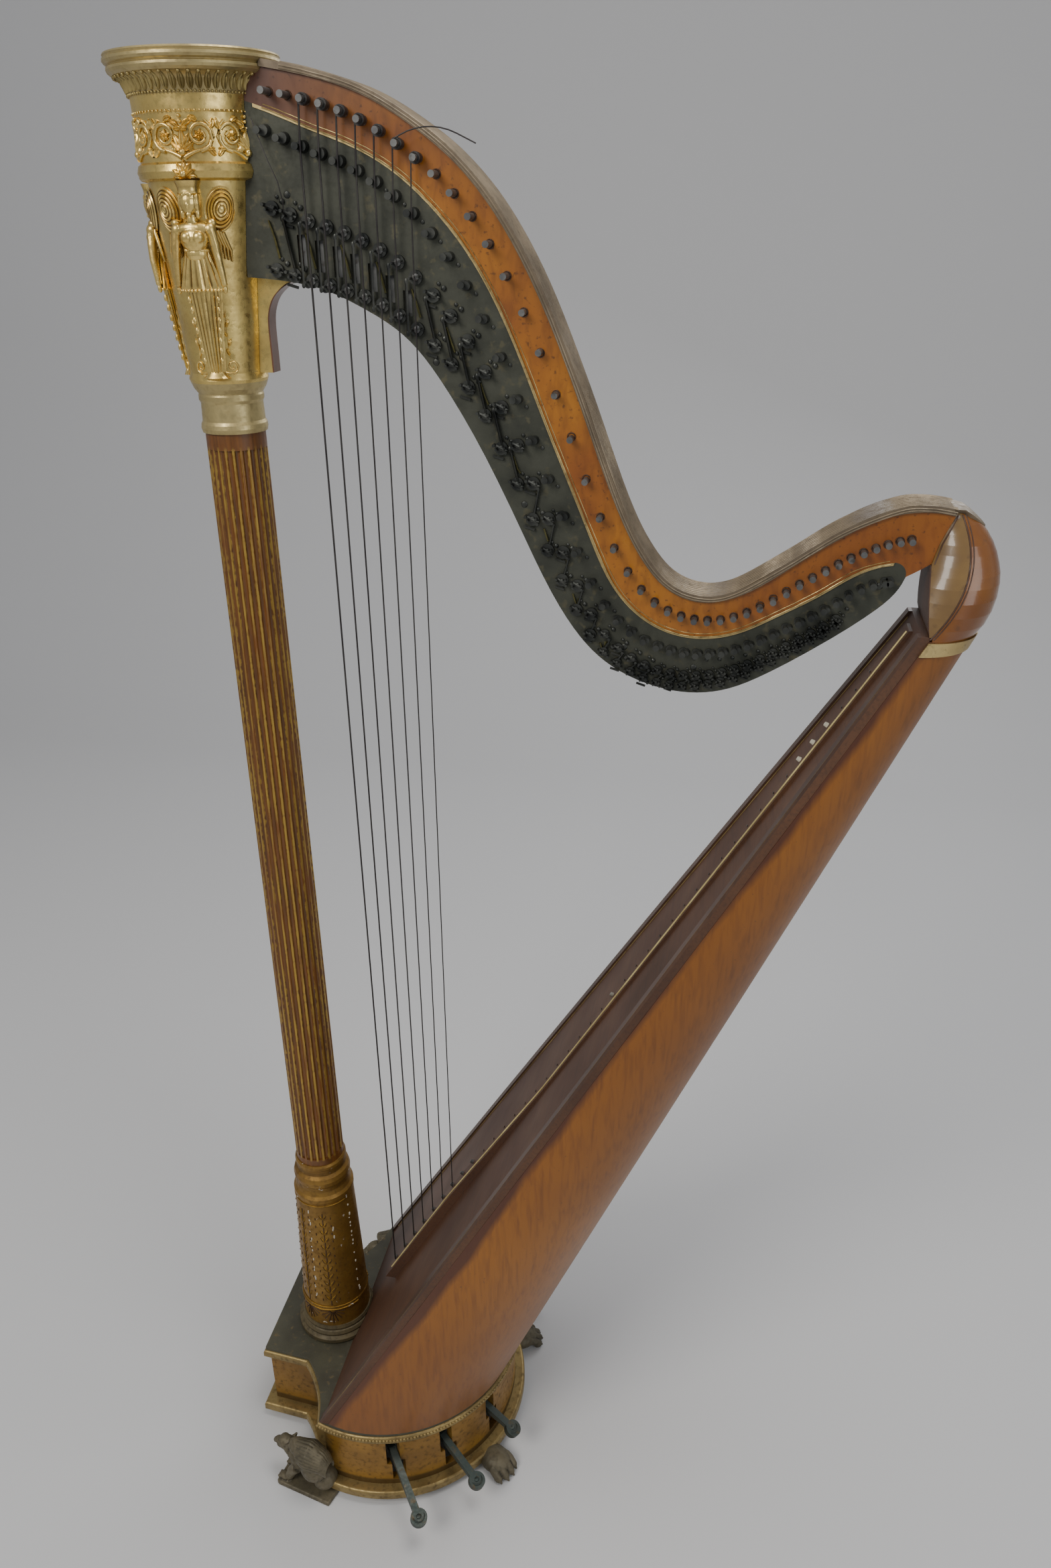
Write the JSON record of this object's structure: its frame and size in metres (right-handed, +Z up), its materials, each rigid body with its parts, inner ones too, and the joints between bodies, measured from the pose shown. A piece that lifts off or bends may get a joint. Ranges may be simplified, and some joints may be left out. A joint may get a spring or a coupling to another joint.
{
  "type": "concert pedal harp",
  "caption": "Gilded concert pedal harp with fluted column, figured capital, tapering soundbox, curved neck and working pedals that turn the neck's fork discs.",
  "frame": {"origin": "on the floor, at the middle of the harp's footprint", "axes": "+Z up, +X from the column towards the soundbox, -Y on the side of the strings"},
  "size_m": [0.8445, 0.4766, 1.715],
  "materials": {
    "gilt_panel": "gilded, worn",
    "gilt": "gilded, worn",
    "pale_gilt": "gilded, pale",
    "aged_gilt": "worn gilding over brown",
    "aged_wood": "dark varnish",
    "varnished_wood": "gloss varnish",
    "inner_wood": "plain",
    "soundboard_wood": "aged satin varnish",
    "peg": "bone",
    "brass": "polished",
    "old_brass": "patinated",
    "pedal_brass": "dark patina",
    "iron": "plain",
    "steel": "worn"
  },
  "bodies": {
    "harp": {"base_walls": "gilt_panel", "base_mouldings": "gilt", "base_top_board": "aged_wood", "griffin_feet": "aged_gilt", "lion_paws": "aged_gilt", "pedal_bracket": "iron", "pedal_pins_and_springs": "steel", "column_foot_rings": "aged_gilt", "column_pedestal": "gilt", "column_shaft": "gilt", "capital_collar": "gilt", "capital_body": "gilt", "capital_cornice": "gilt", "capital_figures": "pale_gilt", "soundbox_shell": "varnished_wood", "soundbox_hoops": "inner_wood", "soundboard": "soundboard_wood", "soundboard_edges": "aged_wood", "string_rib": "soundboard_wood", "string_pegs": "peg", "shoulder_block": "varnished_wood", "shoulder_band": "brass", "neck_wood": "varnished_wood", "neck_top_moulding": "pale_gilt", "left_action_plate": "old_brass", "right_action_plate": "old_brass", "plate_beading": "brass", "neck_bracket": "gilt", "tuning_pins": "steel", "string_nuts": "steel", "unstrung_discs": "steel", "bass_strings": "steel"},
    "pedal_D": {"pedal_D": "pedal_brass"},
    "pedal_C": {"pedal_C": "pedal_brass"},
    "pedal_B": {"pedal_B": "pedal_brass"},
    "pedal_E": {"pedal_E": "pedal_brass"},
    "pedal_F": {"pedal_F": "pedal_brass"},
    "pedal_G": {"pedal_G": "pedal_brass"},
    "pedal_A": {"pedal_A": "pedal_brass"},
    "rod_G": {"rod_G": "steel"},
    "disc_G_upper": {"disc_G_upper": "steel"},
    "disc_G_lower": {"disc_G_lower": "steel"},
    "rod_A": {"rod_A": "steel"},
    "disc_A_upper": {"disc_A_upper": "steel"},
    "disc_A_lower": {"disc_A_lower": "steel"},
    "rod_B": {"rod_B": "steel"},
    "disc_B_upper": {"disc_B_upper": "steel"},
    "disc_B_lower": {"disc_B_lower": "steel"},
    "rod_C": {"rod_C": "steel"},
    "disc_C_upper": {"disc_C_upper": "steel"},
    "disc_C_lower": {"disc_C_lower": "steel"},
    "rod_D": {"rod_D": "steel"},
    "disc_D_upper": {"disc_D_upper": "steel"},
    "disc_D_lower": {"disc_D_lower": "steel"},
    "rod_E": {"rod_E": "steel"},
    "disc_E_upper": {"disc_E_upper": "steel"},
    "disc_E_lower": {"disc_E_lower": "steel"},
    "rod_F": {"rod_F": "steel"},
    "disc_F_upper": {"disc_F_upper": "steel"},
    "disc_F_lower": {"disc_F_lower": "steel"}
  },
  "joints": [
    {"name": "pedal_D_hinge", "type": "hinge", "parent": "harp", "child": "pedal_D", "pos_m": [-0.28099, -0.0591, 0.08], "axis": [0.7826, 0.6225, 0], "range_deg": [0, 7], "stiffness_Nm_per_rad": 10, "springref_deg": -17.19},
    {"name": "pedal_C_hinge", "type": "hinge", "parent": "harp", "child": "pedal_C", "pos_m": [-0.27119, -0.03832, 0.08], "axis": [0.5592, 0.829, 0], "range_deg": [0, 7], "stiffness_Nm_per_rad": 10, "springref_deg": -17.19},
    {"name": "pedal_B_hinge", "type": "hinge", "parent": "harp", "child": "pedal_B", "pos_m": [-0.25559, -0.02145, 0.08], "axis": [0.284, 0.9588, 0], "range_deg": [0, 7], "stiffness_Nm_per_rad": 10, "springref_deg": -17.19},
    {"name": "pedal_E_hinge", "type": "hinge", "parent": "harp", "child": "pedal_E", "pos_m": [-0.26195, 0.03661, 0.08], "axis": [-0.4848, 0.8746, 0], "range_deg": [0, 7], "stiffness_Nm_per_rad": 10, "springref_deg": -17.19},
    {"name": "pedal_F_hinge", "type": "hinge", "parent": "harp", "child": "pedal_F", "pos_m": [-0.27513, 0.04358, 0.08], "axis": [-0.6361, 0.7716, 0], "range_deg": [0, 7], "stiffness_Nm_per_rad": 10, "springref_deg": -17.19},
    {"name": "pedal_G_hinge", "type": "hinge", "parent": "harp", "child": "pedal_G", "pos_m": [-0.27946, 0.05785, 0.08], "axis": [-0.766, 0.6428, 0], "range_deg": [0, 7], "stiffness_Nm_per_rad": 10, "springref_deg": -17.19},
    {"name": "pedal_A_hinge", "type": "hinge", "parent": "harp", "child": "pedal_A", "pos_m": [-0.29426, 0.05964, 0.08], "axis": [-0.8704, 0.4924, 0], "range_deg": [0, 7], "stiffness_Nm_per_rad": 10, "springref_deg": -17.19},
    {"name": "rod_G_slide", "type": "slide", "parent": "harp", "child": "rod_G", "axis": [0, 0, 1], "range_m": [0, 0.00691]},
    {"name": "disc_G_upper_turn", "type": "hinge", "parent": "harp", "child": "disc_G_upper", "pos_m": [-0.22293, -0.022, 1.58021], "axis": [0, 1, 0], "range_deg": [0, 45.01]},
    {"name": "disc_G_lower_turn", "type": "hinge", "parent": "harp", "child": "disc_G_lower", "pos_m": [-0.22335, -0.022, 1.53048], "axis": [0, 1, 0], "range_deg": [0, 45.01]},
    {"name": "rod_A_slide", "type": "slide", "parent": "harp", "child": "rod_A", "axis": [0, 0, 1], "range_m": [0, 0.00691]},
    {"name": "disc_A_upper_turn", "type": "hinge", "parent": "harp", "child": "disc_A_upper", "pos_m": [-0.20622, -0.022, 1.57522], "axis": [0, 1, 0], "range_deg": [0, 45.01]},
    {"name": "disc_A_lower_turn", "type": "hinge", "parent": "harp", "child": "disc_A_lower", "pos_m": [-0.2067, -0.022, 1.52637], "axis": [0, 1, 0], "range_deg": [0, 45.01]},
    {"name": "rod_B_slide", "type": "slide", "parent": "harp", "child": "rod_B", "axis": [0, 0, 1], "range_m": [0, 0.00691]},
    {"name": "disc_B_upper_turn", "type": "hinge", "parent": "harp", "child": "disc_B_upper", "pos_m": [-0.18968, -0.022, 1.57011], "axis": [0, 1, 0], "range_deg": [0, 45.01]},
    {"name": "disc_B_lower_turn", "type": "hinge", "parent": "harp", "child": "disc_B_lower", "pos_m": [-0.19022, -0.022, 1.52214], "axis": [0, 1, 0], "range_deg": [0, 45.01]},
    {"name": "rod_C_slide", "type": "slide", "parent": "harp", "child": "rod_C", "axis": [0, 0, 1], "range_m": [0, 0.00691]},
    {"name": "disc_C_upper_turn", "type": "hinge", "parent": "harp", "child": "disc_C_upper", "pos_m": [-0.17329, -0.022, 1.56385], "axis": [0, 1, 0], "range_deg": [0, 45.01]},
    {"name": "disc_C_lower_turn", "type": "hinge", "parent": "harp", "child": "disc_C_lower", "pos_m": [-0.17389, -0.022, 1.5168], "axis": [0, 1, 0], "range_deg": [0, 45.01]},
    {"name": "rod_D_slide", "type": "slide", "parent": "harp", "child": "rod_D", "axis": [0, 0, 1], "range_m": [0, 0.00691]},
    {"name": "disc_D_upper_turn", "type": "hinge", "parent": "harp", "child": "disc_D_upper", "pos_m": [-0.15707, -0.022, 1.55584], "axis": [0, 1, 0], "range_deg": [0, 45.01]},
    {"name": "disc_D_lower_turn", "type": "hinge", "parent": "harp", "child": "disc_D_lower", "pos_m": [-0.15773, -0.022, 1.50974], "axis": [0, 1, 0], "range_deg": [0, 45.01]},
    {"name": "rod_E_slide", "type": "slide", "parent": "harp", "child": "rod_E", "axis": [0, 0, 1], "range_m": [0, 0.00691]},
    {"name": "disc_E_upper_turn", "type": "hinge", "parent": "harp", "child": "disc_E_upper", "pos_m": [-0.14102, -0.022, 1.54554], "axis": [0, 1, 0], "range_deg": [0, 45.01]},
    {"name": "disc_E_lower_turn", "type": "hinge", "parent": "harp", "child": "disc_E_lower", "pos_m": [-0.14173, -0.022, 1.50047], "axis": [0, 1, 0], "range_deg": [0, 45.01]},
    {"name": "rod_F_slide", "type": "slide", "parent": "harp", "child": "rod_F", "axis": [0, 0, 1], "range_m": [0, 0.00691]},
    {"name": "disc_F_upper_turn", "type": "hinge", "parent": "harp", "child": "disc_F_upper", "pos_m": [-0.12512, -0.022, 1.53284], "axis": [0, 1, 0], "range_deg": [0, 45.01]},
    {"name": "disc_F_lower_turn", "type": "hinge", "parent": "harp", "child": "disc_F_lower", "pos_m": [-0.12589, -0.022, 1.48883], "axis": [0, 1, 0], "range_deg": [0, 45.01]}
  ],
  "couplings": [
    {"joint": "rod_G_slide", "follows": "pedal_G_hinge", "m_per_rad": 0.056382},
    {"joint": "disc_G_upper_turn", "follows": "pedal_G_hinge", "ratio": 6.4286},
    {"joint": "disc_G_lower_turn", "follows": "pedal_G_hinge", "ratio": 6.4286},
    {"joint": "rod_A_slide", "follows": "pedal_A_hinge", "m_per_rad": 0.056382},
    {"joint": "disc_A_upper_turn", "follows": "pedal_A_hinge", "ratio": 6.4286},
    {"joint": "disc_A_lower_turn", "follows": "pedal_A_hinge", "ratio": 6.4286},
    {"joint": "rod_B_slide", "follows": "pedal_B_hinge", "m_per_rad": 0.056382},
    {"joint": "disc_B_upper_turn", "follows": "pedal_B_hinge", "ratio": 6.4286},
    {"joint": "disc_B_lower_turn", "follows": "pedal_B_hinge", "ratio": 6.4286},
    {"joint": "rod_C_slide", "follows": "pedal_C_hinge", "m_per_rad": 0.056382},
    {"joint": "disc_C_upper_turn", "follows": "pedal_C_hinge", "ratio": 6.4286},
    {"joint": "disc_C_lower_turn", "follows": "pedal_C_hinge", "ratio": 6.4286},
    {"joint": "rod_D_slide", "follows": "pedal_D_hinge", "m_per_rad": 0.056382},
    {"joint": "disc_D_upper_turn", "follows": "pedal_D_hinge", "ratio": 6.4286},
    {"joint": "disc_D_lower_turn", "follows": "pedal_D_hinge", "ratio": 6.4286},
    {"joint": "rod_E_slide", "follows": "pedal_E_hinge", "m_per_rad": 0.056382},
    {"joint": "disc_E_upper_turn", "follows": "pedal_E_hinge", "ratio": 6.4286},
    {"joint": "disc_E_lower_turn", "follows": "pedal_E_hinge", "ratio": 6.4286},
    {"joint": "rod_F_slide", "follows": "pedal_F_hinge", "m_per_rad": 0.056382},
    {"joint": "disc_F_upper_turn", "follows": "pedal_F_hinge", "ratio": 6.4286},
    {"joint": "disc_F_lower_turn", "follows": "pedal_F_hinge", "ratio": 6.4286}
  ]
}
